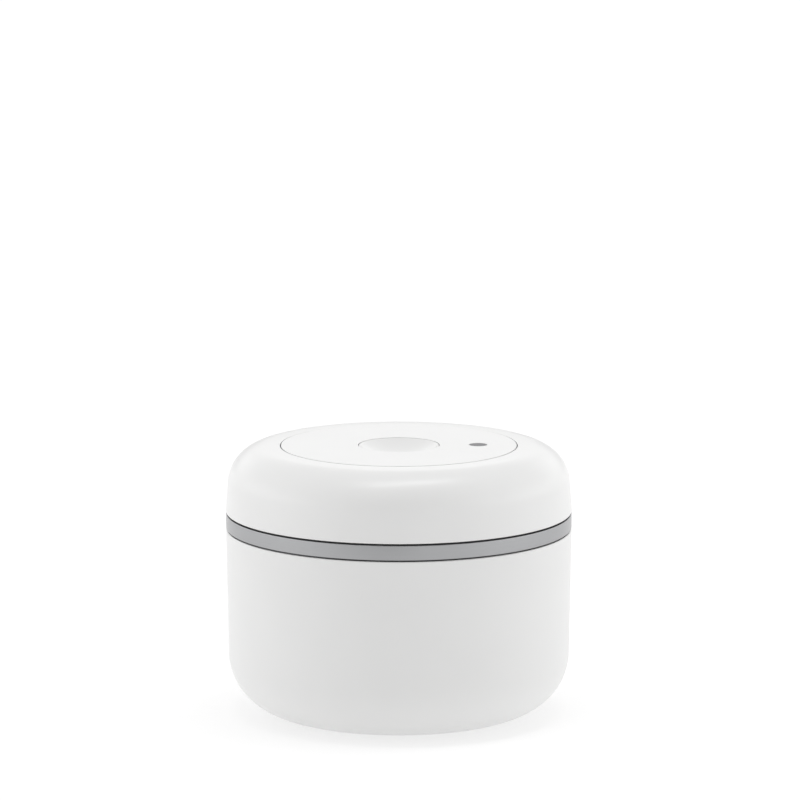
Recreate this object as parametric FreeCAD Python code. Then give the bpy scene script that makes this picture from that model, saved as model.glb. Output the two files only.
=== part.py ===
import FreeCAD, Part
import math
import os
from FreeCAD import Vector

# Vacuum seal canister with a twist-pump lid. Sizes are in millimetres.
# The origin is the middle of the base, on the surface it stands on. Up is +Z,
# and the indicator is on the +X side of the button.

# Outside form
outer_radius = 60.0          # lower edge of the lid cap, the widest place
cap_overhang = 0.1           # how far that edge stands out past the body
body_height = 64.2           # base to the shoulder under the steel band
body_draft = 1.0             # loss of radius from the shoulder to the base
base_corner_radius = 20.7
band_height = 5.5
cap_gap = 0.6                # running gap between the band and the cap
cap_height = 23.0            # lower edge of the cap to the plate's top
cap_draft = 1.7              # loss of radius up the cap's side
cap_crown = 0.5              # fall of the cap's top from its seam to its corner
cap_corner_radius = 13.2
cap_rim_width = 4.3          # ring between the plate's seam and the rounded corner
soft_edge = 0.2              # rounding of moulded edges that show

# Steel vessel and its band
vessel_wall = 0.8
neck_inset = 2.8             # body surface to the neck's outer surface
shoulder_round = 0.5
foot_width = 5.0             # flat ring the canister stands on
foot_slope = 2.0             # width of the slope between the foot and the raised base
base_rise = 1.0
band_wall = 1.0
band_groove_height = 0.5     # shadow line under the band
band_groove_depth = 1.4

# Cap and plate
cap_wall = 2.4
cap_edge_wall = 1.3          # cap wall beside the lid base's flange
cap_edge_round = 0.4
plate_thickness = 2.4
plate_stand = 0.07           # how far the plate stands proud of the cap
seam_gap = 0.33
seam_edge = 0.1              # rounding of the edges at the plate's two seams
lip_overlap = 2.4            # how far the cap's lip reaches under the plate
lip_thickness = 2.2
lip_play = 0.2
plate_skirt_depth = 3.4
plate_skirt_wall = 1.4
snap_height = 0.3            # how far a snap bead stands out

# Lid base, gasket and glide ring
plug_gap = 2.4               # plug to neck, filled by the gasket
base_wall = 2.2
base_floor_thickness = 2.5
flange_thickness = 1.6
flange_gap = 0.5             # flange to the cap's edge wall
plug_corner = 4.0
gasket_height = 3.6
gasket_drop = 1.2            # gasket's top below the band's top
gasket_groove_depth = 0.9
gasket_lip = 0.9             # thickness of one lip
gasket_body = 0.6            # how far the gasket's back stands out of its groove
glide_thickness = 0.8
rib_thickness = 2.0

# Pump
pump_stroke = 9.0
twist_range = 90.0           # degrees, from one end of the cap's turn to the other
barrel_wall = 2.0
tube_bore = 6.0
tube_wall = 3.0
pump_floor_thickness = 3.0
chamber_clearance = 0.6      # piston to pump floor at the end of its stroke
head_thickness = 5.0
piston_skirt_wall = 1.8
seal_section = 1.1           # section radius of the sliding O-rings
seal_margin = 0.6            # top of the seal to the barrel's slots
cam_wall = 3.4
cam_flange_thickness = 2.5
slot_margin = 2.0            # cam wall left above and below its slots
follower_count = 3
pin_radius = 1.6
roller_radius = 2.4
pin_cover = 3.0              # piston skirt above the pin's axis

# Umbrella valves
valve_count = 2
valve_cap_radius = 4.5
valve_cap_thickness = 1.0
valve_stem_radius = 1.2
valve_bulb_radius = 1.6
valve_bulb_length = 1.2
valve_web = 1.6              # wall that a valve is buttoned through
vent_count = 6
vent_radius = 0.7

# Screws
screw_radius = 1.25
screw_head_radius = 2.3
screw_head_height = 1.6
screw_grip = 2.2             # length of thread in the part that is held
socket_radius = 1.1
socket_depth = 0.9
cam_screw_count = 3
base_screw_count = 4
boss_radius = 3.2

# Filter
cover_thickness = 1.5
pad_thickness = 1.0
pocket_wall = 1.8
cover_hole_radius = 1.3
cover_hole_rings = 4

# Release valve
button_radius = 13.85
button_travel = 2.5
button_sink = 0.15           # button's top below the plate's top
button_flange = 1.0          # width of the rim that stops at the plate
button_floor = 1.4           # thickness under the middle of the dish
dish_rim = 0.5               # flat rim around the dish
dish_depth = 3.2
button_boss_length = 2.0
button_boss_wall = 1.6
stem_radius = 2.0
seat_hole_radius = 3.0
seat_thickness = 2.0
poppet_radius = 4.6
poppet_thickness = 2.2
washer_thickness = 1.0
button_spring_length = 7.0
button_spring_radius = 5.2
button_spring_wire = 0.4     # radius of the wire
button_spring_turns = 4
spring_wall = 1.4            # wall of the pocket around the button's spring

# Vacuum indicator
indicator_share = 9          # indicator radii in the ring between the button and the plate's seam
indicator_place = 0.73       # 0 is beside the button, 1 is beside the piston's skirt
indicator_step = 0.5         # pin's head to its stop flange
indicator_flange = 1.2
indicator_cup_wall = 0.7
indicator_cup_floor = 1.0
indicator_seal_thickness = 1.0
indicator_stud_radius = 1.0
indicator_spring_wire = 0.12  # radius of the wire
indicator_spring_turns = 3
nipple_radius = 0.8
nipple_bore = 0.4
nipple_length = 2.5
hose_wall = 0.6
hose_bend = 8.0

# Clearances
fit_gap = 0.03               # pressed or held pieces, each side
running_gap = 0.15           # cam ring on the barrel
slide_gap = 0.3              # piston to barrel and tube
seal_gap = 0.1               # soft seals to the walls that they would press on
button_gap = 0.25            # button to its hole in the plate
indicator_gap = 0.2          # indicator to its hole and its cup
stop_gap = 0.1               # moving pieces to their stops
part_gap = 0.6               # moving pieces to anything they only pass

# Heights that follow from the outside form
band_top = body_height + band_height
cap_bottom = band_top + cap_gap
top = cap_bottom + cap_height
ring_top = top - plate_stand
plate_underside = top - plate_thickness
lip_top = plate_underside - lip_play
lip_bottom = lip_top - lip_thickness
plate_skirt_bottom = plate_underside - plate_skirt_depth
neck_top = band_top - band_wall
flange_top = band_top + flange_thickness
glide_top = flange_top + glide_thickness
rib_bottom = glide_top + stop_gap
rib_top = rib_bottom + rib_thickness
gasket_top = band_top - gasket_drop
gasket_bottom = gasket_top - gasket_height

# Heights of the pump, worked out downward from the plate
slot_half = roller_radius + running_gap
cam_top = plate_skirt_bottom - part_gap
cam_flange_bottom = cam_top - cam_flange_thickness
pin_high = cam_flange_bottom - slot_margin - slot_half
pin_rest = pin_high - pump_stroke / 2
pin_low = pin_high - pump_stroke
slot_bottom = pin_low - slot_half
cam_bottom = slot_bottom - slot_margin
seal_rest = slot_bottom - seal_margin - seal_section - pump_stroke / 2
head_bottom = seal_rest - head_thickness / 2
head_top = seal_rest + head_thickness / 2
piston_top = pin_rest + pin_cover
chamber_floor = head_bottom - pump_stroke / 2 - chamber_clearance
pump_floor_bottom = chamber_floor - pump_floor_thickness
base_floor_bottom = pump_floor_bottom - base_floor_thickness
pocket_bottom = base_floor_bottom - screw_head_height - part_gap - pad_thickness - cover_thickness
pad_bottom = pocket_bottom + cover_thickness

# Heights of the release valve and the indicator
button_top = top - button_sink
button_bottom = button_top - dish_depth - button_floor
seat_top = button_bottom - button_spring_length
seat_bottom = seat_top - seat_thickness
tube_top = button_bottom - button_travel - part_gap
washer_top = seat_bottom - stop_gap
washer_bottom = washer_top - washer_thickness
poppet_bottom = washer_bottom - poppet_thickness
cup_bottom = piston_top + pump_stroke / 2 + part_gap
cup_floor = cup_bottom + indicator_cup_floor
stop_flange_top = plate_underside - stop_gap
stop_flange_bottom = stop_flange_top - indicator_flange
indicator_seal_bottom = stop_flange_bottom - indicator_seal_thickness
hose_radius = nipple_radius + fit_gap + hose_wall
hose_height = head_top + pump_stroke / 2 + valve_cap_thickness + hose_radius + part_gap

# Radii that follow from the outside form, from the outside in
body_radius = outer_radius - cap_overhang
neck_radius = body_radius - neck_inset
mouth_radius = neck_radius - vessel_wall
plug_radius = mouth_radius - plug_gap
edge_inner_radius = outer_radius - cap_edge_wall
flange_radius = edge_inner_radius - flange_gap
plate_radius = outer_radius - cap_draft - cap_corner_radius - cap_rim_width
cap_hole_radius = plate_radius + seam_gap
lip_radius = plate_radius - lip_overlap
plate_skirt_radius = lip_radius - part_gap
barrel_radius = plate_skirt_radius - plate_skirt_wall - fit_gap
barrel_bore = barrel_radius - barrel_wall
cam_bore = barrel_radius + running_gap
cam_radius = cam_bore + cam_wall
cam_boss_circle = cam_radius + boss_radius + part_gap
cam_flange_radius = cam_boss_circle + boss_radius
piston_radius = barrel_bore - slide_gap
piston_skirt_bore = piston_radius - piston_skirt_wall
tube_radius = tube_bore + tube_wall
piston_bore = tube_radius + slide_gap
valve_circle = (tube_radius + barrel_bore) / 2
vent_circle = (valve_stem_radius + valve_cap_radius) / 2
valve_pocket_radius = valve_cap_radius + part_gap
body_seal_circle = barrel_radius - barrel_wall
pocket_radius = valve_circle + valve_pocket_radius + part_gap
cover_radius = pocket_radius - fit_gap
indicator_radius = (plate_radius - button_radius) / indicator_share
cup_bore = indicator_radius + indicator_step + indicator_gap
cup_radius = cup_bore + indicator_cup_wall
nearest_place = button_radius + button_flange + cup_radius + part_gap
farthest_place = piston_skirt_bore - hose_radius - part_gap
indicator_offset = nearest_place + (farthest_place - nearest_place) * indicator_place
indicator_spring_radius = (indicator_stud_radius + cup_bore) / 2

follower_angles = [60 + 360 / follower_count * i for i in range(follower_count)]
valve_angles = [90 + 360 / valve_count * i for i in range(valve_count)]
base_screw_angles = [45 + 360 / base_screw_count * i for i in range(base_screw_count)]
cam_screw_angles = [360 / cam_screw_count * i for i in range(cam_screw_count)]


def round_corner(before, corner, after, radius):
    """Arc that rounds one corner of a profile: its start, middle and end points."""
    to_before = (before - corner).normalize()
    to_after = (after - corner).normalize()
    half_angle = to_before.getAngle(to_after) / 2
    inward = (to_before + to_after).normalize()
    centre = corner + inward * (radius / math.sin(half_angle))
    reach = radius / math.tan(half_angle)
    return corner + to_before * reach, centre - inward * radius, corner + to_after * reach


def lathe(*corners):
    """Solid turned about Z. A corner is (radius, height) or (radius, height, rounding)."""
    points = [Vector(corner[0], 0, corner[1]) for corner in corners]
    edges = []
    starts = []
    ends = []
    for i, corner in enumerate(corners):
        if len(corner) == 3:
            following = points[(i + 1) % len(points)]
            start, middle, end = round_corner(points[i - 1], points[i], following, corner[2])
            edges.append(Part.Arc(start, middle, end).toShape())
        else:
            start = end = points[i]
        starts.append(start)
        ends.append(end)
    for i in range(len(corners)):
        edges.append(Part.makeLine(ends[i - 1], starts[i]))
    wire = Part.Wire(Part.__sortEdges__(edges))
    return Part.Face(wire).revolve(Vector(0, 0, 0), Vector(0, 0, 1), 360)


def rod(radius, bottom, height_top, x=0.0, y=0.0):
    """Upright cylinder between two heights."""
    return Part.makeCylinder(radius, height_top - bottom, Vector(x, y, bottom))


def polar(circle, angle):
    """Point on a circle about Z, as x and y."""
    return circle * math.cos(math.radians(angle)), circle * math.sin(math.radians(angle))


def spoke(radius, start, end, angle, height):
    """Cylinder that points away from the Z axis, between two distances from it."""
    along = Vector(*polar(1.0, angle), 0)
    return Part.makeCylinder(radius, end - start, along * start + Vector(0, 0, height), along)


def o_ring(circle, section, height):
    """O-ring about Z."""
    return Part.makeTorus(circle, section, Vector(0, 0, height))


def turned(shape, angle):
    """Copy of a shape turned about Z."""
    copy = shape.copy()
    copy.rotate(Vector(0, 0, 0), Vector(0, 0, 1), angle)
    return copy


def moved(shape, x=0.0, y=0.0, z=0.0):
    """Copy of a shape moved by a distance."""
    copy = shape.copy()
    copy.translate(Vector(x, y, z))
    return copy


def arc_from(start, direction, end):
    """Arc that leaves a point along a direction and ends at another point."""
    chord = end - start
    unit = Vector(chord).normalize()
    side = (direction - unit * direction.dot(unit)).normalize()
    rise = chord.Length / 2 * math.tan(direction.getAngle(chord) / 2)
    return Part.Arc(start, (start + end) * 0.5 + side * rise, end).toShape()


def coil_spring(mean_radius, wire_radius, length, turns):
    """Coil spring that stands on the origin: one round wire swept along arcs of a quarter turn."""
    rise = (length - 2 * wire_radius) / (2 * math.pi * turns)

    def place(angle):
        return Vector(*polar(mean_radius, math.degrees(angle)), wire_radius + rise * angle)

    def heading(angle):
        return Vector(-mean_radius * math.sin(angle), mean_radius * math.cos(angle), rise).normalize()

    edges = []
    for quarter in range(4 * turns):
        first = math.pi / 2 * quarter
        last = first + math.pi / 2
        gap = place(last) - place(first)
        both = heading(first) + heading(last)
        square = 2 * (1 - heading(first).dot(heading(last)))
        reach = (-gap.dot(both) + math.sqrt(gap.dot(both) ** 2 + square * gap.dot(gap))) / square
        joint = (place(first) + heading(first) * reach + place(last) - heading(last) * reach) * 0.5
        onward = (place(last) - heading(last) * reach - joint).normalize()
        edges.append(arc_from(place(first), heading(first), joint))
        edges.append(arc_from(joint, onward, place(last)))
    section = Part.Wire(Part.makeCircle(wire_radius, place(0), heading(0)))
    spring = Part.Wire(edges).makePipeShell([section], True, False)
    print("spring gap between turns", round(rise * 2 * math.pi - 2 * wire_radius, 2))
    return spring


def screw(length):
    """Pan-head screw that points up, its head under the origin."""
    shank = rod(screw_radius, 0, length)
    head = rod(screw_head_radius, -screw_head_height, 0)
    socket = Part.makePolygon([Vector(*polar(socket_radius, 60 * i), -screw_head_height) for i in range(7)])
    recess = Part.Face(socket).extrude(Vector(0, 0, socket_depth))
    return shank.fuse(head).removeSplitter().cut(recess)


def umbrella_valve(stem_length):
    """Umbrella valve whose cap rests on the origin and whose bulb holds it from below."""
    bulb_top = -stem_length - fit_gap
    return lathe(
        (0, valve_cap_thickness),
        (valve_stem_radius, valve_cap_thickness),
        (valve_cap_radius, fit_gap + valve_cap_thickness / 3),
        (valve_cap_radius, fit_gap),
        (valve_stem_radius, fit_gap),
        (valve_stem_radius, bulb_top),
        (valve_bulb_radius, bulb_top),
        (valve_stem_radius, bulb_top - valve_bulb_length),
        (0, bulb_top - valve_bulb_length),
    )


def valve_holes(bottom, height_top):
    """Stem hole and vents of every umbrella valve, through a wall between two heights."""
    holes = []
    for angle in valve_angles:
        x, y = polar(valve_circle, angle)
        holes.append(rod(valve_stem_radius + fit_gap, bottom, height_top, x, y))
        for i in range(vent_count):
            vent_x, vent_y = polar(vent_circle, 360 / vent_count * i)
            holes.append(rod(vent_radius, bottom, height_top, x + vent_x, y + vent_y))
    return Part.makeCompound(holes)


def valve_pockets(radius, bottom, height_top):
    """Round pocket at every umbrella valve."""
    centres = [polar(valve_circle, angle) for angle in valve_angles]
    return Part.makeCompound([rod(radius, bottom, height_top, *centre) for centre in centres])


def make_canister_body():
    """Drawn vessel with an inset neck, a rounded base and a raised middle underneath."""
    base_radius = body_radius - body_draft
    foot_inner = base_radius - base_corner_radius - foot_width
    inner_radius = base_radius - vessel_wall
    return lathe(
        (0, base_rise),
        (foot_inner - foot_slope, base_rise),
        (foot_inner, 0),
        (base_radius, 0, base_corner_radius),
        (body_radius, body_height, shoulder_round),
        (neck_radius, body_height),
        (neck_radius, neck_top),
        (mouth_radius, neck_top),
        (mouth_radius, body_height - vessel_wall),
        (body_radius - vessel_wall, body_height - vessel_wall),
        (inner_radius, vessel_wall, base_corner_radius - vessel_wall),
        (foot_inner, vessel_wall),
        (foot_inner - foot_slope, base_rise + vessel_wall),
        (0, base_rise + vessel_wall),
    )


def make_rim_band():
    """Bare collar folded over the neck. Its lower edge steps in to leave a shadow groove."""
    foot_radius = body_radius - band_groove_depth
    groove_top = body_height + band_groove_height
    step_top = groove_top + band_wall
    return lathe(
        (foot_radius - band_wall, body_height),
        (foot_radius, body_height),
        (foot_radius, groove_top),
        (body_radius, groove_top, soft_edge),
        (body_radius, band_top, soft_edge),
        (mouth_radius, band_top, soft_edge),
        (mouth_radius, neck_top),
        (body_radius - band_wall, neck_top),
        (body_radius - band_wall, step_top),
        (foot_radius - band_wall, step_top),
    )


def make_lid_base():
    """Bowl that plugs the mouth, with a flange on the band and a filter pocket underneath."""
    groove_radius = plug_radius - gasket_groove_depth
    snap_middle = pocket_bottom + cover_thickness / 2
    base = lathe(
        (tube_bore, base_floor_bottom),
        (pocket_radius, base_floor_bottom),
        (pocket_radius, snap_middle + snap_height),
        (pocket_radius + snap_height, snap_middle),
        (pocket_radius, snap_middle - snap_height),
        (pocket_radius, pocket_bottom),
        (pocket_radius + pocket_wall, pocket_bottom, soft_edge),
        (pocket_radius + pocket_wall, base_floor_bottom),
        (plug_radius, base_floor_bottom, plug_corner),
        (plug_radius, gasket_bottom - fit_gap),
        (groove_radius, gasket_bottom - fit_gap),
        (groove_radius, gasket_top + fit_gap),
        (plug_radius, gasket_top + fit_gap),
        (plug_radius, band_top),
        (flange_radius, band_top),
        (flange_radius, flange_top),
        (plug_radius - base_wall, flange_top),
        (plug_radius - base_wall, pump_floor_bottom, base_wall),
        (tube_bore, pump_floor_bottom),
    )
    inlets = valve_pockets(valve_pocket_radius, base_floor_bottom, pump_floor_bottom)
    screw_holes = [
        rod(screw_radius + fit_gap, base_floor_bottom, pump_floor_bottom, *polar(valve_circle, angle))
        for angle in base_screw_angles
    ]
    return base.cut(inlets).cut(Part.makeCompound(screw_holes))


def make_lid_gasket():
    """Silicone ring with two lips that bear on the neck."""
    back_radius = plug_radius - gasket_groove_depth + fit_gap
    body = plug_radius + gasket_body
    lip_tip = mouth_radius - seal_gap
    return lathe(
        (back_radius, gasket_bottom),
        (body, gasket_bottom),
        (lip_tip, gasket_bottom + gasket_lip / 2),
        (lip_tip, gasket_bottom + gasket_lip),
        (body, gasket_bottom + gasket_lip * 1.5),
        (body, gasket_top - gasket_lip * 1.5),
        (lip_tip, gasket_top - gasket_lip),
        (lip_tip, gasket_top - gasket_lip / 2),
        (body, gasket_top),
        (back_radius, gasket_top),
    )


def make_glide_ring():
    """Flat ring on the lid base's flange that the cap turns on."""
    ring = rod(flange_radius - stop_gap, flange_top, glide_top)
    return ring.cut(rod(plug_radius, flange_top, glide_top))


def make_pump_body():
    """Barrel, floor and valve tube in one moulding, with the release valve's seat in the tube."""
    spring_pocket = tube_radius - spring_wall
    snap_middle = plate_skirt_bottom + 2 * snap_height
    body = lathe(
        (tube_bore, pump_floor_bottom),
        (barrel_radius, pump_floor_bottom),
        (barrel_radius, snap_middle - snap_height),
        (barrel_radius - snap_height, snap_middle),
        (barrel_radius, snap_middle + snap_height),
        (barrel_radius, plate_underside),
        (barrel_bore, plate_underside),
        (barrel_bore, chamber_floor),
        (tube_radius, chamber_floor),
        (tube_radius, tube_top),
        (spring_pocket, tube_top),
        (spring_pocket, seat_top),
        (seat_hole_radius, seat_top),
        (seat_hole_radius, seat_bottom),
        (tube_bore, seat_bottom),
    )
    nipple = spoke(nipple_radius, tube_bore, tube_radius + nipple_length, 0, hose_height)
    body = body.fuse(nipple.cut(rod(tube_bore, pump_floor_bottom, tube_top)))
    for angle in follower_angles:
        body = body.cut(barrel_slot(angle))
    pilot_top = pump_floor_bottom + screw_grip
    pilot_holes = [
        rod(screw_radius + fit_gap, pump_floor_bottom, pilot_top, *polar(valve_circle, angle))
        for angle in base_screw_angles
    ]
    cuts = [
        spoke(nipple_bore, tube_bore / 2, tube_radius + nipple_length, 0, hose_height),
        valve_pockets(valve_pocket_radius, pump_floor_bottom + valve_web, chamber_floor),
        valve_holes(pump_floor_bottom, pump_floor_bottom + valve_web),
        body_seal_groove(),
        Part.makeCompound(pilot_holes),
    ]
    for cut in cuts:
        body = body.cut(cut)
    return body


def barrel_slot(angle):
    """Upright slot through the barrel that keeps the piston from turning."""
    inner = barrel_bore - part_gap
    outer = barrel_radius + part_gap
    middle = Part.makeBox(outer - inner, 2 * slot_half, pump_stroke, Vector(inner, -slot_half, pin_low))
    low_end = spoke(slot_half, inner, outer, angle, pin_low)
    high_end = spoke(slot_half, inner, outer, angle, pin_high)
    return turned(middle, angle).fuse([low_end, high_end]).removeSplitter()


def body_seal_groove():
    """Groove under the pump body for its O-ring."""
    groove_top = pump_floor_bottom + 2 * seal_section
    half_width = seal_section + fit_gap
    groove = rod(body_seal_circle + half_width, pump_floor_bottom, groove_top)
    return groove.cut(rod(body_seal_circle - half_width, pump_floor_bottom, groove_top))


def make_body_seal():
    """O-ring between the pump body and the lid base."""
    return o_ring(body_seal_circle, seal_section, pump_floor_bottom + seal_section)


def make_base_screws():
    """Screws that hold the pump body down on the lid base."""
    one = screw(base_floor_thickness + screw_grip - fit_gap)
    return [moved(one, *polar(valve_circle, angle), base_floor_bottom) for angle in base_screw_angles]


def make_inlet_valves():
    """Umbrella valves in the pump floor that let air up out of the canister."""
    one = moved(umbrella_valve(valve_web), 0, 0, pump_floor_bottom + valve_web)
    return [moved(one, *polar(valve_circle, angle)) for angle in valve_angles]


def make_outlet_valves():
    """Umbrella valves on the piston that let air up past it."""
    one = moved(umbrella_valve(valve_web), 0, 0, head_top)
    return [moved(one, *polar(valve_circle, angle)) for angle in valve_angles]


def make_filter_pad():
    """Felt disc between the filter cover and the screw heads."""
    return rod(cover_radius - part_gap, pad_bottom, pad_bottom + pad_thickness)


def make_filter_cover():
    """Perforated disc that snaps into the filter pocket."""
    snap_middle = pocket_bottom + cover_thickness / 2
    cover = lathe(
        (0, pocket_bottom),
        (cover_radius, pocket_bottom, soft_edge),
        (cover_radius, snap_middle - snap_height),
        (cover_radius + snap_height, snap_middle),
        (cover_radius, snap_middle + snap_height),
        (cover_radius, pad_bottom),
        (0, pad_bottom),
    )
    holes = [rod(cover_hole_radius, pocket_bottom, pad_bottom)]
    ring_step = cover_radius / (cover_hole_rings + 1)
    for ring in range(1, cover_hole_rings + 1):
        for i in range(6 * ring):
            centre = polar(ring_step * ring, 60 / ring * i)
            holes.append(rod(cover_hole_radius, pocket_bottom, pad_bottom, *centre))
    return cover.cut(Part.makeCompound(holes))


def make_top_plate():
    """Fixed plate in the middle of the cap, snapped onto the barrel by its skirt."""
    skirt_bore = barrel_radius + fit_gap
    snap_middle = plate_skirt_bottom + 2 * snap_height
    hole_radius = button_radius + button_gap
    plate = lathe(
        (hole_radius, plate_underside),
        (hole_radius, top, seam_edge),
        (plate_radius, top, seam_edge),
        (plate_radius, plate_underside),
        (plate_skirt_radius, plate_underside),
        (plate_skirt_radius, plate_skirt_bottom),
        (skirt_bore, plate_skirt_bottom),
        (skirt_bore, snap_middle - snap_height),
        (skirt_bore - snap_height, snap_middle),
        (skirt_bore, snap_middle + snap_height),
        (skirt_bore, plate_underside),
    )
    return plate.cut(rod(indicator_radius + indicator_gap, plate_underside, top, indicator_offset))


def make_lid_cap():
    """Domed ring that a hand twists, with a lip under the plate and bosses for the cam ring."""
    slope = cap_draft / cap_height
    inner_corner_radius = outer_radius - cap_draft - cap_wall
    rib_wall_radius = outer_radius - cap_wall - slope * (rib_top - cap_bottom)
    cap = lathe(
        (edge_inner_radius, cap_bottom),
        (outer_radius, cap_bottom, cap_edge_round),
        (outer_radius - cap_draft, ring_top - cap_crown, cap_corner_radius),
        (cap_hole_radius, ring_top, seam_edge),
        (cap_hole_radius, lip_top),
        (lip_radius, lip_top),
        (lip_radius, lip_bottom),
        (cap_hole_radius + cap_wall, lip_bottom),
        (cap_hole_radius + cap_wall, ring_top - cap_wall),
        (inner_corner_radius, ring_top - cap_crown - cap_wall, cap_corner_radius - cap_wall),
        (rib_wall_radius, rib_top),
        (plug_radius, rib_top),
        (plug_radius, rib_bottom),
        (edge_inner_radius, rib_bottom),
    )
    boss_top = ring_top - cap_wall / 2
    bosses = [
        rod(boss_radius, cam_top, boss_top, *polar(cam_boss_circle, angle))
        for angle in cam_screw_angles
    ]
    pilots = [
        rod(screw_radius + fit_gap, cam_top, cam_top + screw_grip, *polar(cam_boss_circle, angle))
        for angle in cam_screw_angles
    ]
    clear_of_plate = rod(cap_hole_radius, lip_top, top)
    cap = cap.fuse([boss.cut(clear_of_plate) for boss in bosses])
    return cap.cut(Part.makeCompound(pilots))


def cam_slot(angle):
    """Helical slot through the cam ring, with its middle at a follower pin's place."""
    inner = cam_bore - part_gap
    outer = cam_radius + part_gap
    middle_radius = (inner + outer) / 2
    arc_length = middle_radius * math.radians(twist_range)
    half_height = slot_half * math.hypot(1, pump_stroke / arc_length)
    helix = Part.makeHelix(pump_stroke * 360 / twist_range, pump_stroke, middle_radius)
    corners = [(inner, -half_height), (outer, -half_height), (outer, half_height), (inner, half_height)]
    points = [Vector(r, 0, z) for r, z in corners]
    section = Part.makePolygon(points + points[:1])
    sweep = moved(Part.Wire(helix).makePipeShell([section], True, True), 0, 0, pin_low)
    start_angle = angle - twist_range / 2
    low_end = spoke(slot_half, inner, outer, start_angle, pin_low)
    high_end = spoke(slot_half, inner, outer, start_angle + twist_range, pin_high)
    return [turned(sweep, start_angle), low_end, high_end]


def make_cam_ring():
    """Ring around the barrel whose helical slots push the piston up and down."""
    ring = lathe(
        (cam_bore, cam_bottom),
        (cam_radius, cam_bottom),
        (cam_radius, cam_flange_bottom),
        (cam_flange_radius, cam_flange_bottom),
        (cam_flange_radius, cam_top),
        (cam_bore, cam_top),
    )
    for angle in follower_angles:
        for cut in cam_slot(angle):
            ring = ring.cut(cut)
    screw_holes = [
        rod(screw_radius + fit_gap, cam_flange_bottom, cam_top, *polar(cam_boss_circle, angle))
        for angle in cam_screw_angles
    ]
    return ring.cut(Part.makeCompound(screw_holes))


def make_cam_screws():
    """Screws that hold the cam ring up against the cap's bosses."""
    one = screw(cam_flange_thickness + screw_grip - fit_gap)
    return [moved(one, *polar(cam_boss_circle, angle), cam_flange_bottom) for angle in cam_screw_angles]


def make_pump_piston():
    """Annular piston with grooves for its two seals and a skirt that carries the follower pins."""
    groove_low = seal_rest - seal_section - fit_gap
    groove_high = seal_rest + seal_section + fit_gap
    outer_groove = barrel_bore - seal_gap - 2 * seal_section - fit_gap
    inner_groove = tube_radius + seal_gap + 2 * seal_section + fit_gap
    piston = lathe(
        (piston_bore, head_bottom),
        (piston_radius, head_bottom),
        (piston_radius, groove_low),
        (outer_groove, groove_low),
        (outer_groove, groove_high),
        (piston_radius, groove_high),
        (piston_radius, piston_top),
        (piston_skirt_bore, piston_top),
        (piston_skirt_bore, head_top),
        (piston_bore, head_top),
        (piston_bore, groove_high),
        (inner_groove, groove_high),
        (inner_groove, groove_low),
        (piston_bore, groove_low),
    )
    pin_holes = [
        spoke(pin_radius + fit_gap, piston_skirt_bore - part_gap, piston_radius + part_gap, angle, pin_rest)
        for angle in follower_angles
    ]
    cuts = [
        valve_pockets(valve_pocket_radius, head_bottom, head_top - valve_web),
        valve_holes(head_top - valve_web, head_top),
        Part.makeCompound(pin_holes),
    ]
    for cut in cuts:
        piston = piston.cut(cut)
    return piston


def make_follower_pins():
    """Pins fixed in the piston's skirt that reach out through the barrel into the cam ring."""
    start = piston_skirt_bore - part_gap
    end = cam_radius - part_gap
    return [spoke(pin_radius, start, end, angle, pin_rest) for angle in follower_angles]


def roller(start, end, angle):
    """Sleeve on a follower pin, between two distances from the Z axis."""
    bore = spoke(pin_radius + fit_gap, start, end, angle, pin_rest)
    return spoke(roller_radius, start, end, angle, pin_rest).cut(bore)


def make_guide_rollers():
    """Sleeves on the pins that run in the barrel's upright slots."""
    start = piston_radius + stop_gap
    return [roller(start, barrel_radius - stop_gap, angle) for angle in follower_angles]


def make_cam_rollers():
    """Sleeves on the pins that run in the cam ring's helical slots."""
    start = cam_bore + stop_gap
    return [roller(start, cam_radius - part_gap, angle) for angle in follower_angles]


def make_piston_outer_seal():
    """O-ring between piston and barrel."""
    return o_ring(barrel_bore - seal_gap - seal_section, seal_section, seal_rest)


def make_piston_inner_seal():
    """O-ring between piston and valve tube."""
    return o_ring(tube_radius + seal_gap + seal_section, seal_section, seal_rest)


def make_release_button():
    """Dished button with a stop flange below the plate and a socket for the stem."""
    boss_radius_outside = stem_radius + button_boss_wall
    boss_bottom = button_bottom - button_boss_length
    flange_top_height = plate_underside - stop_gap
    button = lathe(
        (0, button_bottom),
        (stem_radius + fit_gap, button_bottom),
        (stem_radius + fit_gap, boss_bottom),
        (boss_radius_outside, boss_bottom),
        (boss_radius_outside, button_bottom),
        (button_radius + button_flange, button_bottom),
        (button_radius + button_flange, flange_top_height),
        (button_radius, flange_top_height),
        (button_radius, button_top, seam_edge),
        (0, button_top),
    )
    dish_radius = button_radius - dish_rim
    ball_radius = (dish_radius ** 2 + dish_depth ** 2) / (2 * dish_depth)
    return button.cut(Part.makeSphere(ball_radius, Vector(0, 0, button_top - dish_depth + ball_radius)))


def make_release_stem():
    """Stem of the release valve with its poppet below the seat."""
    return lathe(
        (0, button_bottom - fit_gap),
        (stem_radius, button_bottom - fit_gap),
        (stem_radius, washer_bottom),
        (poppet_radius, washer_bottom),
        (poppet_radius, poppet_bottom, poppet_thickness / 2),
        (0, poppet_bottom),
    )


def make_release_seal():
    """Washer on the poppet that closes against the seat."""
    washer = rod(poppet_radius, washer_bottom, washer_top)
    return washer.cut(rod(stem_radius + fit_gap, washer_bottom, washer_top))


def make_button_spring():
    """Spring that holds the button up and the release valve shut."""
    length = button_spring_length - 2 * fit_gap
    spring = coil_spring(button_spring_radius, button_spring_wire, length, button_spring_turns)
    return moved(spring, 0, 0, seat_top + fit_gap)


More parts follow.
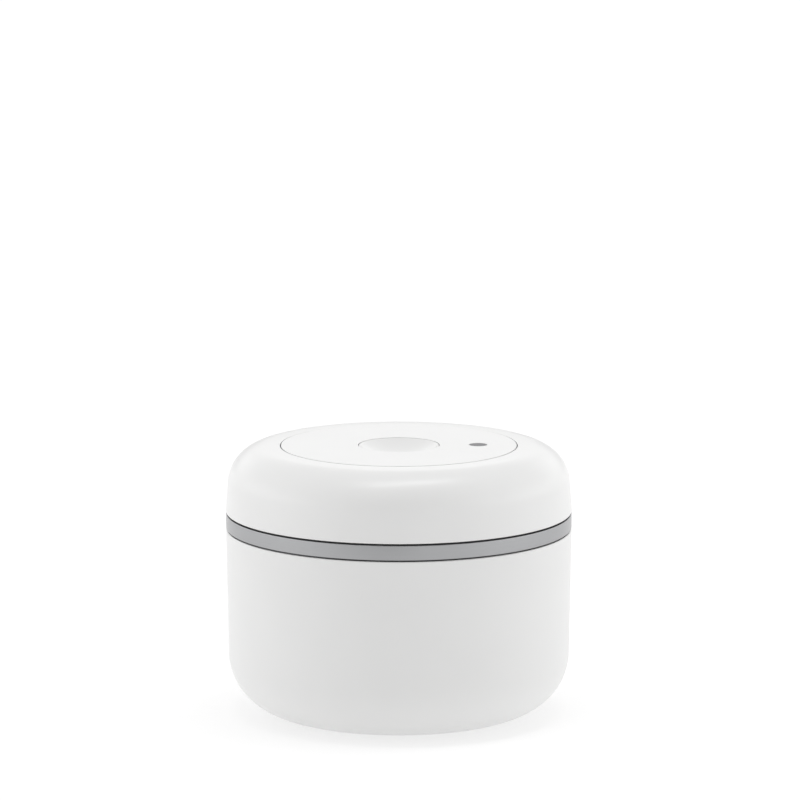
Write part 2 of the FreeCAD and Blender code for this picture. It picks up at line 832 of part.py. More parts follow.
def make_indicator_cup():
    """Small chamber under the plate whose suction pulls the indicator down."""
    cup = lathe(
        (nipple_bore, cup_bottom - nipple_length),
        (nipple_radius, cup_bottom - nipple_length),
        (nipple_radius, cup_bottom),
        (cup_radius, cup_bottom),
        (cup_radius, plate_underside),
        (cup_bore, plate_underside),
        (cup_bore, cup_floor),
        (nipple_bore, cup_floor),
    )
    return moved(cup, indicator_offset)


def make_indicator_pin():
    """Grey pin that shows in the plate, with a stop flange and a stud for its seal."""
    flange = indicator_radius + indicator_step
    stud_bottom = indicator_seal_bottom - indicator_spring_wire
    pin = lathe(
        (0, stud_bottom),
        (indicator_stud_radius, stud_bottom),
        (indicator_stud_radius, stop_flange_bottom),
        (flange, stop_flange_bottom),
        (flange, stop_flange_top),
        (indicator_radius, stop_flange_top),
        (indicator_radius, top, soft_edge),
        (0, top),
    )
    return moved(pin, indicator_offset)


def make_indicator_seal():
    """Seal under the indicator's flange."""
    seal = rod(cup_bore - seal_gap, indicator_seal_bottom, stop_flange_bottom)
    bore = rod(indicator_stud_radius + fit_gap, indicator_seal_bottom, stop_flange_bottom)
    return moved(seal.cut(bore), indicator_offset)


def make_indicator_spring():
    """Spring that pushes the indicator up when there is no vacuum."""
    length = indicator_seal_bottom - cup_floor - 2 * fit_gap
    spring = coil_spring(indicator_spring_radius, indicator_spring_wire, length, indicator_spring_turns)
    return moved(spring, indicator_offset, 0, cup_floor + fit_gap)


def make_indicator_hose():
    """Hose from the valve tube's nipple up to the indicator cup's nipple."""
    start = Vector(tube_radius + fit_gap, 0, hose_height)
    bend_start = Vector(indicator_offset - hose_bend, 0, hose_height)
    bend_end = Vector(indicator_offset, 0, hose_height + hose_bend)
    end = Vector(indicator_offset, 0, cup_bottom - fit_gap)
    path = Part.Wire([
        Part.makeLine(start, bend_start),
        arc_from(bend_start, Vector(1, 0, 0), bend_end),
        Part.makeLine(bend_end, end),
    ])

    def tube(radius):
        section = Part.Wire(Part.makeCircle(radius, start, Vector(1, 0, 0)))
        return path.makePipeShell([section], True, False)

    return tube(hose_radius).cut(tube(nipple_radius + fit_gap))


def save(name, shape):
    """Write one node, checked to be sound solids, to its own STEP file."""
    solids = shape if isinstance(shape, list) else shape.Solids
    for solid in solids:
        if not solid.isValid() or solid.Volume <= 0:
            raise ValueError(name + " is not a sound solid")
    whole = solids[0] if len(solids) == 1 else Part.makeCompound(solids)
    whole.exportStep("parts/" + name + ".step")
    box = whole.BoundBox
    print(name, len(solids), "solid(s), height", round(box.ZMin, 2), "to", round(box.ZMax, 2))


makers = [
    make_canister_body,
    make_rim_band,
    make_lid_base,
    make_lid_gasket,
    make_glide_ring,
    make_pump_body,
    make_body_seal,
    make_base_screws,
    make_inlet_valves,
    make_filter_pad,
    make_filter_cover,
    make_top_plate,
    make_button_spring,
    make_indicator_cup,
    make_indicator_spring,
    make_indicator_hose,
    make_lid_cap,
    make_cam_ring,
    make_cam_screws,
    make_pump_piston,
    make_piston_outer_seal,
    make_piston_inner_seal,
    make_outlet_valves,
    make_follower_pins,
    make_guide_rollers,
    make_cam_rollers,
    make_release_button,
    make_release_stem,
    make_release_seal,
    make_indicator_pin,
    make_indicator_seal,
]

os.makedirs("parts", exist_ok=True)
for maker in makers:
    save(maker.__name__.replace("make_", ""), maker())
print("total height", round(top, 2), "lid reaches down to", round(pocket_bottom, 2))
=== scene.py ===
import math

import bmesh
import bpy
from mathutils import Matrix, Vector


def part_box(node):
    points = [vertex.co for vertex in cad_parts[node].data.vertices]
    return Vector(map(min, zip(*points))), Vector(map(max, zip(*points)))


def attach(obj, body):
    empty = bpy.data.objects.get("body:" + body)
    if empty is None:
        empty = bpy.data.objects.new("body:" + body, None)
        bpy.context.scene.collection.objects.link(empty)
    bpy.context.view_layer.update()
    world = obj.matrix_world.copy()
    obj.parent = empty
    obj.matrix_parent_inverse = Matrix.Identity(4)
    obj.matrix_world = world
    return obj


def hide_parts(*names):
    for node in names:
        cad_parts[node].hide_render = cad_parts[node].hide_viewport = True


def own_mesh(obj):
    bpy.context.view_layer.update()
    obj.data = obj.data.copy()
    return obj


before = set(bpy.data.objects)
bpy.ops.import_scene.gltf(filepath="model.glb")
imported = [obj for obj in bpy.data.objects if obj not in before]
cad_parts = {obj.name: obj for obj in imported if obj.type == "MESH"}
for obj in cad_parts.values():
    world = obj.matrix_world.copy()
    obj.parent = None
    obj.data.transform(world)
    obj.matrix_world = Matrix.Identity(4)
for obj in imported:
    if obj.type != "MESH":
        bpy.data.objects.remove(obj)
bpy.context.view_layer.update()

MM = 0.001


def in_mm(metres):
    """Millimetres to a hundredth, which drops the small error of the solids' facets."""
    return round(metres / MM, 2)


def bottom_of(node):
    """Lowest height of a node, in millimetres."""
    return in_mm(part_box(node)[0].z)


def top_of(node):
    """Highest height of a node, in millimetres."""
    return in_mm(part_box(node)[1].z)


def middle_of(node):
    """Where a node's middle lies along x, in millimetres."""
    low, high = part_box(node)
    return in_mm((low.x + high.x) / 2)


def reach_of(node):
    """How far a node goes to each side of its middle along x, in millimetres."""
    low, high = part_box(node)
    return in_mm((high.x - low.x) / 2)


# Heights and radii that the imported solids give, in millimetres
body_height = bottom_of("rim_band")
band_top = top_of("rim_band")
cap_bottom = bottom_of("lid_cap")
glide_top = top_of("glide_ring")
cam_top = top_of("cam_ring")
boss_bottom = bottom_of("release_button")
button_top = top_of("release_button")
top = top_of("top_plate")
body_radius = reach_of("rim_band")
plate_radius = reach_of("top_plate")
cam_flange_radius = reach_of("cam_ring")
button_flange_radius = reach_of("release_button")

# Clearances in millimetres
fit_gap = 0.03
stop_gap = 0.1
seam_gap = 0.33
plug_gap = 2.4

# Vessel and band in millimetres
body_draft = 1.0
base_corner_radius = 20.7
vessel_wall = 0.8
shoulder_round = 0.5
neck_inset = 2.8
neck_round = 0.4
foot_width = 5.0
foot_slope = 2.0
foot_round = 1.5
base_rise = 1.0
band_wall = 1.0
band_groove_height = 0.5
band_groove_depth = 1.4
soft_edge = 0.2
neck_radius = body_radius - neck_inset
mouth_radius = neck_radius - vessel_wall
neck_top = band_top - band_wall

# Lid ring in millimetres
cap_overhang = 0.1
cap_draft = 1.7
cap_crown = 0.5
cap_corner_radius = 13.2
cap_wall = 2.4
cap_edge_wall = 1.3
cap_edge_round = 0.4
plate_stand = 0.07
plate_thickness = 2.4
seam_edge = 0.1
lip_play = 0.2
lip_thickness = 2.2
lip_overlap = 2.4
rib_thickness = 2.0
outer_radius = body_radius + cap_overhang
cap_edge_inner = outer_radius - cap_edge_wall
ring_top = top - plate_stand
plate_underside = top - plate_thickness
lip_top = plate_underside - lip_play
lip_bottom = lip_top - lip_thickness
lip_radius = plate_radius - lip_overlap
rib_bottom = glide_top + stop_gap
rib_top = rib_bottom + rib_thickness
rib_radius = mouth_radius - plug_gap

# Screw bosses in the lid ring, in millimetres
cam_screw_count = 3
screw_radius = 1.25
screw_grip = 2.2
boss_radius = 3.2
boss_circle = cam_flange_radius - boss_radius
pilot_radius = screw_radius + fit_gap

# Button in millimetres
button_flange = 1.0
button_boss_length = 2.0
button_boss_wall = 1.6
stem_radius = 2.0
dish_rim = 0.5
dish_depth = 3.2
button_radius = button_flange_radius - button_flange
button_bottom = boss_bottom + button_boss_length
flange_top = plate_underside - stop_gap
socket_radius = stem_radius + fit_gap

# Springs: wire radius in millimetres and number of turns
button_spring_wire = 0.4
button_spring_turns = 4
indicator_spring_wire = 0.12
indicator_spring_turns = 3

# Detail of the turned and coiled meshes
TURN_STEPS = 256
BOSS_STEPS = 32
DISH_STEPS = 24
COIL_STEPS = 48
WIRE_SIDES = 10
ARC_STEP_DEGREES = 4.0
LEAST_ARC_STEPS = 3
NEAR_AXIS = 1e-6
SHARP_ANGLE = math.radians(28)

# Places in a piece's list of materials
SKIN = 0
CORE = 1


def arc_points(before, here, after, rounding):
    """Points of the arc that rounds a corner between its two neighbours."""
    back = (before - here).normalized()
    onward = (after - here).normalized()
    half = back.angle(onward) / 2
    centre = here + (back + onward).normalized() * (rounding / math.sin(half))
    reach = rounding / math.tan(half)
    first = here + back * reach - centre
    last = here + onward * reach - centre
    swing = first.angle_signed(last)
    start = math.atan2(first.y, first.x)
    steps = max(LEAST_ARC_STEPS, math.ceil(abs(math.degrees(swing)) / ARC_STEP_DEGREES))
    points = []
    for step in range(steps + 1):
        angle = start - swing * step / steps
        points.append(centre + rounding * Vector((math.cos(angle), math.sin(angle))))
    return points


def rounded(corners):
    """Points of a closed outline, from corners of (radius, height) or (radius, height, rounding)."""
    places = [Vector(corner[:2]) for corner in corners]
    points = []
    for i, corner in enumerate(corners):
        if len(corner) < 3:
            points.append(places[i])
        else:
            following = places[(i + 1) % len(places)]
            points += arc_points(places[i - 1], places[i], following, corner[2])
    return points


def skin_only(radius, height):
    """Outer material on every face."""
    return SKIN


def core_only(radius, height):
    """Inner material on every face."""
    return CORE


def add_ring(mesh, point, centre, steps):
    """Add a ring of vertices about an upright axis. On the axis it is one vertex, repeated."""
    if point.x < NEAR_AXIS:
        tip = mesh.verts.new((centre[0] * MM, centre[1] * MM, point.y * MM))
        return [tip] * steps
    ring = []
    for step in range(steps):
        angle = 2 * math.pi * step / steps
        x = centre[0] + point.x * math.cos(angle)
        y = centre[1] + point.x * math.sin(angle)
        ring.append(mesh.verts.new((x * MM, y * MM, point.y * MM)))
    return ring


def add_turned(mesh, corners, material_of=skin_only, centre=(0.0, 0.0), steps=TURN_STEPS):
    """Add a shape turned about an upright axis.

    material_of gives a face's material from its radius and height.
    """
    outline = rounded(corners)
    rings = [add_ring(mesh, point, centre, steps) for point in outline]
    for i, ring in enumerate(rings):
        before = rings[i - 1]
        both_on_axis = ring[0] is ring[1] and before[0] is before[1]
        if both_on_axis:
            continue
        middle = (outline[i] + outline[i - 1]) / 2
        material = material_of(middle.x, middle.y)
        for step in range(steps):
            following = (step + 1) % steps
            around = [before[step], before[following], ring[following], ring[step]]
            # A face beside the axis is a triangle, so the repeated vertex is dropped
            face = mesh.faces.new(list(dict.fromkeys(around)))
            face.smooth = True
            face.material_index = material


def add_coil(mesh, mean_radius, wire_radius, bottom, length, turns, centre):
    """Add a coil spring of round wire that stands on a height."""
    total = turns * COIL_STEPS
    rise = length - 2 * wire_radius
    rings = []
    for step in range(total + 1):
        angle = 2 * math.pi * step / COIL_STEPS
        out = Vector((math.cos(angle), math.sin(angle), 0))
        height = bottom + wire_radius + rise * step / total
        middle = Vector((*centre, height)) + out * mean_radius
        ring = []
        for side in range(WIRE_SIDES):
            turn = 2 * math.pi * side / WIRE_SIDES
            offset = out * math.cos(turn) + Vector((0, 0, math.sin(turn)))
            ring.append(mesh.verts.new((middle + offset * wire_radius) * MM))
        rings.append(ring)
    for low, high in zip(rings, rings[1:]):
        for side in range(WIRE_SIDES):
            following = (side + 1) % WIRE_SIDES
            face = mesh.faces.new([low[side], low[following], high[following], high[side]])
            face.smooth = True
    mesh.faces.new(rings[0])
    mesh.faces.new(rings[-1])


def finished_mesh(name, mesh):
    """Mesh data from a mesh under construction."""
    data = bpy.data.meshes.new(name)
    mesh.to_mesh(data)
    mesh.free()
    return data


def add_object(name, data):
    """New object in the scene."""
    thing = bpy.data.objects.new(name, data)
    bpy.context.scene.collection.objects.link(thing)
    return thing


def new_piece(name, mesh, materials, body, node):
    """Object from a mesh under construction, with its materials, tied to its body in place of its node."""
    bmesh.ops.recalc_face_normals(mesh, faces=mesh.faces)
    data = finished_mesh(name, mesh)
    data.set_sharp_from_angle(angle=SHARP_ANGLE)
    for material in materials:
        data.materials.append(material)
    piece = add_object(name, data)
    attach(piece, body)
    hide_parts(node)
    return piece


class Nodes:
    """Short way to make and join the nodes of one material or of the world."""

    def __init__(self, tree):
        self.tree = tree
        tree.nodes.clear()

    def add(self, kind, inputs=None, **settings):
        """New node. An input is a value, or another node's output to join it to."""
        node = self.tree.nodes.new(kind)
        for key, value in settings.items():
            setattr(node, key, value)
        for key, value in (inputs or {}).items():
            if isinstance(value, bpy.types.NodeSocket):
                self.tree.links.new(value, node.inputs[key])
            else:
                node.inputs[key].default_value = value
        return node

    def math(self, operation, first, second=0.0):
        """Result of one operation on one or two values."""
        return self.add("ShaderNodeMath", {0: first, 1: second}, operation=operation).outputs[0]

    def squared(self, value):
        """Value times itself."""
        return self.math("MULTIPLY", value, value)

    def spread(self, value, low, high):
        """Value from 0 to 1 spread over another range."""
        return self.add("ShaderNodeMapRange", {"Value": value, "To Min": low, "To Max": high}).outputs[0]

    def ramp(self, value, start, end, low, high):
        """Smooth change from low to high while the value goes from start to end."""
        limits = {"Value": value, "From Min": start, "From Max": end, "To Min": low, "To Max": high}
        return self.add("ShaderNodeMapRange", limits, interpolation_type="SMOOTHSTEP").outputs[0]


def new_material(name):
    """Empty material and its nodes."""
    material = bpy.data.materials.new(name)
    material.use_nodes = True
    return material, Nodes(material.node_tree)


def object_place(nodes):
    """Place on the object, in metres."""
    return nodes.add("ShaderNodeTexCoord").outputs["Object"]


def noise(nodes, place, scale, detail=3.0, roughness=0.5):
    """Noise from 0 to 1, with about so many cells in each unit of the place."""
    settings = {"Vector": place, "Scale": scale, "Detail": detail, "Roughness": roughness}
    return nodes.add("ShaderNodeTexNoise", settings).outputs["Fac"]


def tinted(nodes, amount, dark, light):
    """Colour between a dark and a light one."""
    blend = nodes.add("ShaderNodeMix", {"Factor": amount}, data_type="RGBA")
    blend.inputs["A"].default_value = (*dark, 1)
    blend.inputs["B"].default_value = (*light, 1)
    return blend.outputs["Result"]


def add_shader(nodes, colour, roughness, height=None, strength=0.0, depth=0.0, **fixed):
    """Principled shader and output, with a bump of a depth in millimetres where a height is given.

    Fixed values sit on the shader's own sockets.
    """
    shader = nodes.add("ShaderNodeBsdfPrincipled", {"Base Color": colour, "Roughness": roughness})
    for key, value in fixed.items():
        shader.inputs[key.replace("_", " ")].default_value = value
    if height is not None:
        bump = nodes.add("ShaderNodeBump", {"Strength": strength, "Distance": depth * MM, "Height": height})
        nodes.tree.links.new(bump.outputs[0], shader.inputs["Normal"])
    nodes.add("ShaderNodeOutputMaterial", {"Surface": shader.outputs[0]})
    return shader


def satin_coat(name, dark, light, roughness, peel, relief):
    """Moulded or painted surface: a trace of orange peel and faint uneven sheen."""
    material, nodes = new_material(name)
    place = object_place(nodes)
    mottle = noise(nodes, place, scale=45.0, detail=4.0)
    waves = noise(nodes, place, scale=peel, detail=1.0)
    sheen = noise(nodes, place, scale=120.0, detail=5.0)
    add_shader(nodes, tinted(nodes, mottle, dark, light), nodes.spread(sheen, *roughness), waves,
               strength=relief, depth=0.08)
    return material


def around_and_up(nodes, around, up):
    """Place on a turned surface: slow around the axis, quick up and outward.

    Noise on it makes fine rings.
    """
    x, y, z = nodes.add("ShaderNodeSeparateXYZ", {"Vector": object_place(nodes)}).outputs
    radius = nodes.math("SQRT", nodes.math("ADD", nodes.squared(x), nodes.squared(y)))
    least_radius = 0.1 * MM
    safe = nodes.math("MAXIMUM", radius, least_radius)
    turn_x = nodes.math("MULTIPLY", nodes.math("DIVIDE", x, safe), around)
    turn_y = nodes.math("MULTIPLY", nodes.math("DIVIDE", y, safe), around)
    along = nodes.math("MULTIPLY", nodes.math("ADD", z, radius), up)
    return nodes.add("ShaderNodeCombineXYZ", {0: turn_x, 1: turn_y, 2: along}).outputs[0]


def brushed_steel(name, dark, light, roughness, lines, stretch=0.7):
    """Steel brushed around the axis, with coarse and fine lines and stretched highlights."""
    material, nodes = new_material(name)
    fine_lines = 4 * lines
    coarse_place = around_and_up(nodes, around=1.6, up=lines)
    fine_place = around_and_up(nodes, around=7.0, up=fine_lines)
    coarse = noise(nodes, coarse_place, scale=1.0, detail=4.0, roughness=0.6)
    fine = noise(nodes, fine_place, scale=1.0, detail=3.0, roughness=0.6)
    streaks = nodes.math("MULTIPLY", nodes.math("ADD", coarse, fine), 0.5)
    colour = tinted(nodes, streaks, dark, light)
    shader = add_shader(nodes, colour, nodes.spread(streaks, *roughness), streaks,
                        strength=0.12, depth=0.04,
                        Metallic=1.0, Anisotropic=stretch, Anisotropic_Rotation=0.25)
    tangent = nodes.add("ShaderNodeTangent", direction_type="RADIAL", axis="Z")
    nodes.tree.links.new(tangent.outputs[0], shader.inputs["Tangent"])
    return material


def moulded_plastic(name, dark, light, roughness):
    """Inner mouldings: faint flow marks and fine spark texture."""
    material, nodes = new_material(name)
    place = object_place(nodes)
    flow = noise(nodes, place, scale=60.0, detail=4.0)
    spark = noise(nodes, place, scale=2600.0, detail=2.0)
    add_shader(nodes, tinted(nodes, flow, dark, light), nodes.spread(flow, *roughness), spark,
               strength=0.15, depth=0.06)
    return material


def silicone(name, dark, light):
    """Soft silicone or rubber: dull, with a faint bloom and dust-fine mottling."""
    material, nodes = new_material(name)
    place = object_place(nodes)
    mottle = noise(nodes, place, scale=180.0, detail=5.0)
    skin = noise(nodes, place, scale=1800.0, detail=2.0)
    add_shader(nodes, tinted(nodes, mottle, dark, light), nodes.spread(mottle, low=0.5, high=0.68), skin,
               strength=0.1, depth=0.05, Sheen_Weight=0.15, Sheen_Roughness=0.5)
    return material


def felt(name, dark, light):
    """Pressed fibre pad."""
    material, nodes = new_material(name)
    fibres = noise(nodes, object_place(nodes), scale=1400.0, detail=6.0, roughness=0.7)
    add_shader(nodes, tinted(nodes, fibres, dark, light), nodes.spread(fibres, low=0.85, high=0.98), fibres,
               strength=0.6, depth=0.3, Sheen_Weight=0.3)
    return material


white_paint = satin_coat(
    "white_paint", dark=(0.745, 0.745, 0.741), light=(0.775, 0.775, 0.771),
    roughness=(0.34, 0.42), peel=700.0, relief=0.05)
white_plastic = satin_coat(
    "white_plastic", dark=(0.750, 0.750, 0.746), light=(0.780, 0.780, 0.776),
    roughness=(0.28, 0.33), peel=350.0, relief=0.02)
grey_plastic = satin_coat(
    "grey_plastic", dark=(0.190, 0.191, 0.194), light=(0.215, 0.216, 0.219),
    roughness=(0.55, 0.65), peel=500.0, relief=0.05)
band_steel = brushed_steel(
    "band_steel", dark=(0.34, 0.343, 0.35), light=(0.42, 0.423, 0.43),
    roughness=(0.30, 0.38), lines=9000.0, stretch=0.2)
# Dark steel for the groove under the band: painted shade standing in for its shadow
painted_shade_steel = brushed_steel(
    "painted_shade_steel", dark=(0.10, 0.10, 0.105), light=(0.14, 0.14, 0.145),
    roughness=(0.40, 0.50), lines=9000.0)
inside_steel = brushed_steel(
    "inside_steel", dark=(0.50, 0.50, 0.505), light=(0.60, 0.60, 0.605),
    roughness=(0.29, 0.42), lines=4500.0)
hardware_steel = brushed_steel(
    "hardware_steel", dark=(0.48, 0.48, 0.49), light=(0.62, 0.62, 0.63),
    roughness=(0.28, 0.38), lines=6000.0)
dark_plastic = moulded_plastic(
    "dark_plastic", dark=(0.030, 0.030, 0.032), light=(0.042, 0.042, 0.045), roughness=(0.44, 0.56))
pale_plastic = moulded_plastic(
    "pale_plastic", dark=(0.52, 0.53, 0.54), light=(0.58, 0.59, 0.60), roughness=(0.36, 0.48))
cam_plastic = moulded_plastic(
    "cam_plastic", dark=(0.16, 0.17, 0.18), light=(0.20, 0.21, 0.22), roughness=(0.36, 0.48))
acetal = moulded_plastic(
    "acetal", dark=(0.74, 0.74, 0.72), light=(0.80, 0.80, 0.78), roughness=(0.30, 0.42))
grey_silicone = silicone("grey_silicone", dark=(0.20, 0.205, 0.21), light=(0.25, 0.255, 0.26))
black_rubber = silicone("black_rubber", dark=(0.018, 0.018, 0.019), light=(0.030, 0.030, 0.031))
filter_felt = felt("filter_felt", dark=(0.42, 0.41, 0.39), light=(0.66, 0.65, 0.62))

# Nodes that keep their solids, under the material that they get
node_materials = {
    white_plastic: ["top_plate"],
    grey_plastic: ["indicator_pin"],
    dark_plastic: ["lid_base", "filter_cover"],
    pale_plastic: ["pump_body", "pump_piston", "indicator_cup", "release_stem"],
    cam_plastic: ["cam_ring"],
    acetal: ["glide_ring", "cam_rollers", "guide_rollers"],
    grey_silicone: [
        "lid_gasket", "inlet_valves", "outlet_valves", "release_seal", "indicator_seal", "indicator_hose",
    ],
    black_rubber: ["body_seal", "piston_outer_seal", "piston_inner_seal"],
    hardware_steel: ["base_screws", "cam_screws", "follower_pins"],
    filter_felt: ["filter_pad"],
}


def dress_solids():
    """Give each kept solid its material."""
    for material, names in node_materials.items():
        for name in names:
            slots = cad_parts[name].data.materials
            slots.clear()
            slots.append(material)


def make_body():
    """Painted vessel, bare steel inside."""
    base_radius = body_radius - body_draft
    corner_centre = base_radius - base_corner_radius
    foot_inner = corner_centre - foot_width
    raised_radius = foot_inner - foot_slope
    inner_shoulder = body_height - vessel_wall
    corners = [
        (0, base_rise),
        (raised_radius, base_rise, foot_round),
        (foot_inner, 0, foot_round),
        (base_radius, 0, base_corner_radius),
        (body_radius, body_height, shoulder_round),
        (neck_radius, body_height),
        (neck_radius, neck_top),
        (mouth_radius, neck_top),
        (mouth_radius, inner_shoulder, neck_round),
        (body_radius - vessel_wall, inner_shoulder, neck_round),
        (base_radius - vessel_wall, vessel_wall, base_corner_radius - vessel_wall),
        (foot_inner, vessel_wall, foot_round),
        (raised_radius, base_rise + vessel_wall, foot_round),
        (0, base_rise + vessel_wall),
    ]

    def paint_or_steel(radius, height):
        """Paint on the outer half of the wall, bare steel on its inner half and on the neck."""
        if height > base_corner_radius:
            depth = body_radius - body_draft * (1 - height / body_height) - radius
        elif radius > corner_centre:
            depth = base_corner_radius - math.hypot(radius - corner_centre, height - base_corner_radius)
        else:
            share_of_rise = min(1, max(0, (foot_inner - radius) / foot_slope))
            depth = height - base_rise * share_of_rise
        return CORE if depth > vessel_wall / 2 else SKIN

    mesh = bmesh.new()
    add_turned(mesh, corners, paint_or_steel)
    new_piece("canister_shell", mesh, [white_paint, inside_steel],
              body="canister", node="canister_body")


def make_band():
    """Brushed collar over the neck."""
    foot_radius = body_radius - band_groove_depth
    groove_top = body_height + band_groove_height
    step_top = groove_top + band_wall
    corners = [
        (foot_radius - band_wall, body_height),
        (foot_radius, body_height),
        (foot_radius, groove_top),
        (body_radius, groove_top, soft_edge),
        (body_radius, band_top, soft_edge),
        (mouth_radius, band_top, soft_edge),
        (mouth_radius, neck_top),
        (body_radius - band_wall, neck_top),
        (body_radius - band_wall, step_top),
        (foot_radius - band_wall, step_top),
    ]

    def bright_or_painted_shade(radius, height):
        """Darker steel in the groove under the band, painted shade for the groove's shadow."""
        in_groove = height < groove_top + soft_edge / 2 and radius < body_radius - soft_edge
        return CORE if in_groove else SKIN

    mesh = bmesh.new()
    add_turned(mesh, corners, bright_or_painted_shade)
    # The groove's darker steel is painted shade for the shadow in the groove
    new_piece("steel_band", mesh, [band_steel, painted_shade_steel],
              body="canister", node="rim_band")


def make_cap():
    """Domed ring of the lid, with the bosses that its screws hold on to."""
    hole_radius = plate_radius + seam_gap
    dome_radius = outer_radius - cap_draft
    dome_top = ring_top - cap_crown
    corner_radius = dome_radius - cap_corner_radius
    corner_height = dome_top - cap_corner_radius
    slope = cap_draft / (top - cap_bottom)
    skin_depth = cap_wall / 3
    corners = [
        (cap_edge_inner, cap_bottom),
        (outer_radius, cap_bottom, cap_edge_round),
        (dome_radius, dome_top, cap_corner_radius),
        (hole_radius, ring_top, seam_edge),
        (hole_radius, lip_top),
        (lip_radius, lip_top),
        (lip_radius, lip_bottom),
        (hole_radius + cap_wall, lip_bottom),
        (hole_radius + cap_wall, ring_top - cap_wall),
        (dome_radius - cap_wall, dome_top - cap_wall, cap_corner_radius - cap_wall),
        (outer_radius - cap_wall - slope * (rib_top - cap_bottom), rib_top),
        (rib_radius, rib_top),
        (rib_radius, rib_bottom),
        (cap_edge_inner, rib_bottom),
    ]
    boss = [
        (pilot_radius, cam_top),
        (boss_radius, cam_top, soft_edge),
        (boss_radius, lip_top),
        (0, lip_top),
        (0, cam_top + screw_grip),
        (pilot_radius, cam_top + screw_grip),
    ]

    def coat_or_bare_seam_shade(radius, height):
        """White on the outer skin, bare darker moulding below it; on the seam's wall the darker moulding is
        also painted shade that darkens the seam.
        """
        if radius < corner_radius:
            depth = ring_top - height
        elif height < corner_height:
            depth = outer_radius - slope * (height - cap_bottom) - radius
        else:
            depth = cap_corner_radius - math.hypot(radius - corner_radius, height - corner_height)
        return CORE if depth > skin_depth else SKIN

    mesh = bmesh.new()
    add_turned(mesh, corners, coat_or_bare_seam_shade)
    for i in range(cam_screw_count):
        angle = 2 * math.pi * i / cam_screw_count
        centre = (boss_circle * math.cos(angle), boss_circle * math.sin(angle))
        add_turned(mesh, boss, core_only, centre, BOSS_STEPS)
    # The darker bare moulding on the seam's wall is partly painted shade for the seam
    new_piece("cap_shell", mesh, [white_plastic, pale_plastic],
              body="cap", node="lid_cap")


def make_button():
    """Dished release button."""
    dish_radius = button_radius - dish_rim
    ball_radius = (dish_radius ** 2 + dish_depth ** 2) / (2 * dish_depth)
    ball_height = button_top - dish_depth + ball_radius
    dish = []
    for step in range(DISH_STEPS + 1):
        radius = dish_radius * (1 - step / DISH_STEPS)
        dish.append((radius, ball_height - math.sqrt(ball_radius ** 2 - radius ** 2)))
    dish[0] = (*dish[0], soft_edge)
    corners = [
        (0, button_bottom),
        (socket_radius, button_bottom),
        (socket_radius, boss_bottom),
        (socket_radius + button_boss_wall, boss_bottom, soft_edge),
        (socket_radius + button_boss_wall, button_bottom),
        (button_flange_radius, button_bottom),
        (button_flange_radius, flange_top),
        (button_radius, flange_top),
        (button_radius, button_top, seam_edge),
        *dish,
    ]
    mesh = bmesh.new()
    add_turned(mesh, corners)
    new_piece("dished_button", mesh, [white_plastic],
              body="button", node="release_button")


def make_spring(node, wire_radius, turns):
    """Coil spring in its node's place."""
    bottom = bottom_of(node)
    length = top_of(node) - bottom
    offset = middle_of(node)
    mean_radius = reach_of(node) - wire_radius
    mesh = bmesh.new()
    add_coil(mesh, mean_radius, wire_radius, bottom, length, turns, (offset, 0))
    piece = new_piece(node + "_wire", mesh, [hardware_steel],
                      body="lid", node=node)
    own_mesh(piece)


# Studio, in metres apart from the camera's sensor and lens, which are in millimetres
lit_point = (0, 0, 0.05)
floor_half_width = 30.0
floor_gap = 0.0002
near_reach = 0.15
far_reach = 1.2
far_limit = 100.0
sensor_width = 36.0


def make_floor(near_glow, far_glow):
    """Large plain white floor that glows a little, like a light table."""
    mesh = bmesh.new()
    sides = [(-1, -1), (1, -1), (1, 1), (-1, 1)]
    corners = [(x * floor_half_width, y * floor_half_width, -floor_gap) for x, y in sides]
    mesh.faces.new([mesh.verts.new(corner) for corner in corners])
    data = finished_mesh("floor", mesh)
    floor = add_object("floor", data)
    material, nodes = new_material("floor_white")
    place = object_place(nodes)
    patches = noise(nodes, place, scale=3.0)
    tone = tinted(nodes, patches, dark=(0.445, 0.445, 0.445), light=(0.455, 0.455, 0.455))
    roughness = nodes.spread(noise(nodes, place, scale=20.0), low=0.7, high=0.8)
    shader = add_shader(nodes, tone, roughness, Specular_IOR_Level=0.0)
    distance = nodes.add("ShaderNodeVectorMath", {0: place}, operation="LENGTH").outputs["Value"]
    glow = nodes.ramp(distance, near_reach, far_reach, near_glow, far_glow)
    shader.inputs["Emission Color"].default_value = (1, 1, 1, 1)
    nodes.tree.links.new(glow, shader.inputs["Emission Strength"])
    data.materials.append(material)


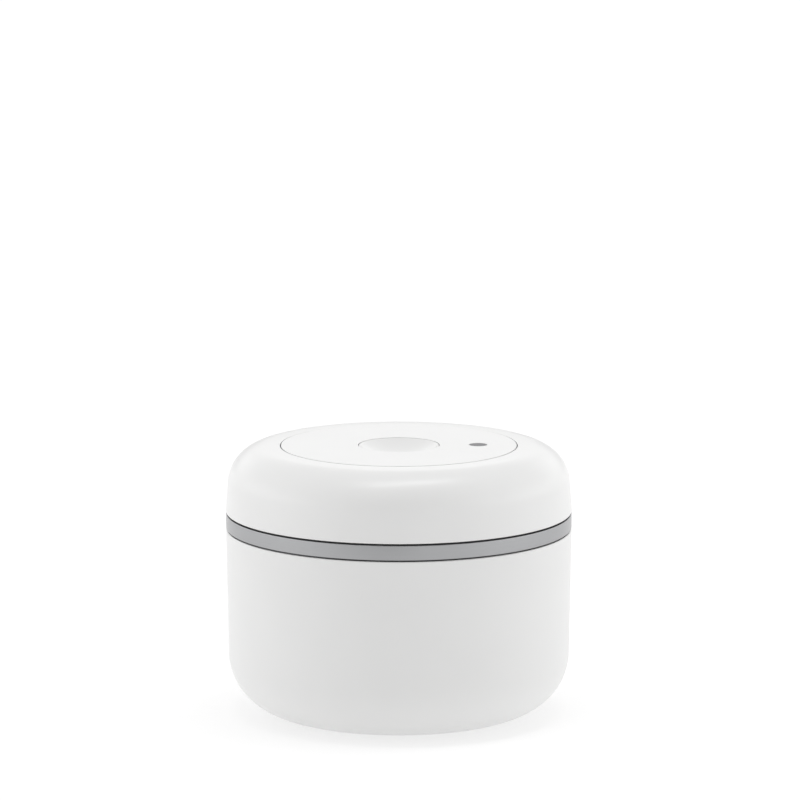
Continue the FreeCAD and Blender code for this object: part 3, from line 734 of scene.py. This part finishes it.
def make_world(left, right, back, above, side_fade):
    """Soft white surround: a glow on each side, a strip behind and a glow overhead.

    The sides and the strip fade with height, and the strip starts a little above the horizon.
    """
    world = bpy.data.worlds.new("studio")
    bpy.context.scene.world = world
    world.use_nodes = True
    nodes = Nodes(world.node_tree)
    direction = nodes.add("ShaderNodeTexCoord").outputs["Generated"]
    x, y, z = nodes.add("ShaderNodeSeparateXYZ", {"Vector": direction}).outputs

    def lobe(axis, sign, level):
        """Glow around one direction of an axis."""
        facing = nodes.math("MAXIMUM", nodes.math("MULTIPLY", axis, sign), 0.0)
        return nodes.math("MULTIPLY", nodes.squared(facing), level)

    fade = nodes.ramp(z, start=0.1, end=0.5, low=1.0, high=side_fade)
    rise = nodes.ramp(z, start=0.06, end=0.2, low=0.0, high=1.0)
    narrow = nodes.squared(nodes.math("SUBTRACT", 1.0, nodes.squared(x)))
    strip = nodes.math("MULTIPLY", lobe(y, 1, back), nodes.math("MULTIPLY", rise, narrow))
    sides = nodes.math("ADD", lobe(x, -1, left), lobe(x, 1, right))
    around = nodes.math("MULTIPLY", nodes.math("ADD", sides, strip), fade)
    strength = nodes.math("ADD", around, lobe(z, 1, above))
    background = nodes.add("ShaderNodeBackground", {"Color": (1, 1, 1, 1), "Strength": strength})
    nodes.add("ShaderNodeOutputWorld", {"Surface": background.outputs[0]})


def turn_towards(thing, aim):
    """Point a lamp or a camera at a place."""
    direction = Vector(aim) - thing.location
    thing.rotation_euler = direction.to_track_quat("-Z", "Y").to_euler()


def make_softbox(name, place, width, height, radiance):
    """Rectangular soft light on the object, as bright as a surface of that radiance."""
    light = bpy.data.lights.new(name, "AREA")
    light.shape = "RECTANGLE"
    light.size = width
    light.size_y = height
    light.energy = radiance * math.pi * width * height
    lamp = add_object(name, light)
    lamp.location = place
    turn_towards(lamp, lit_point)


def make_camera(place, aim, lens):
    """Long lens from a little above, as in the photograph."""
    data = bpy.data.cameras.new("camera")
    data.lens = lens
    data.sensor_width = sensor_width
    data.clip_end = far_limit
    camera = add_object("camera", data)
    camera.location = place
    turn_towards(camera, aim)
    bpy.context.scene.camera = camera


dress_solids()
make_body()
make_band()
make_cap()
make_button()
make_spring("button_spring", button_spring_wire, button_spring_turns)
make_spring("indicator_spring", indicator_spring_wire, indicator_spring_turns)
make_floor(near_glow=0.565, far_glow=0.635)
make_world(left=2.28, right=2.24, back=1.72, above=0.87, side_fade=0.56)
make_softbox("overhead", place=(0.05, -0.08, 1.4), width=0.9, height=0.28, radiance=4.8)
make_softbox("front_right", place=(0.6, -1.9, 0.35), width=0.9, height=0.8, radiance=0.54)
make_softbox("left_rim", place=(-0.95, 1.5, 0.5), width=0.7, height=1.0, radiance=0.3)
make_softbox("right_rim", place=(0.95, 1.5, 0.5), width=0.7, height=1.0, radiance=0.35)
make_camera(place=(0.0004, -1.573, 0.3792), aim=(0.0004, 0, 0.10895), lens=207.9)
bpy.context.scene.view_settings.view_transform = "Standard"
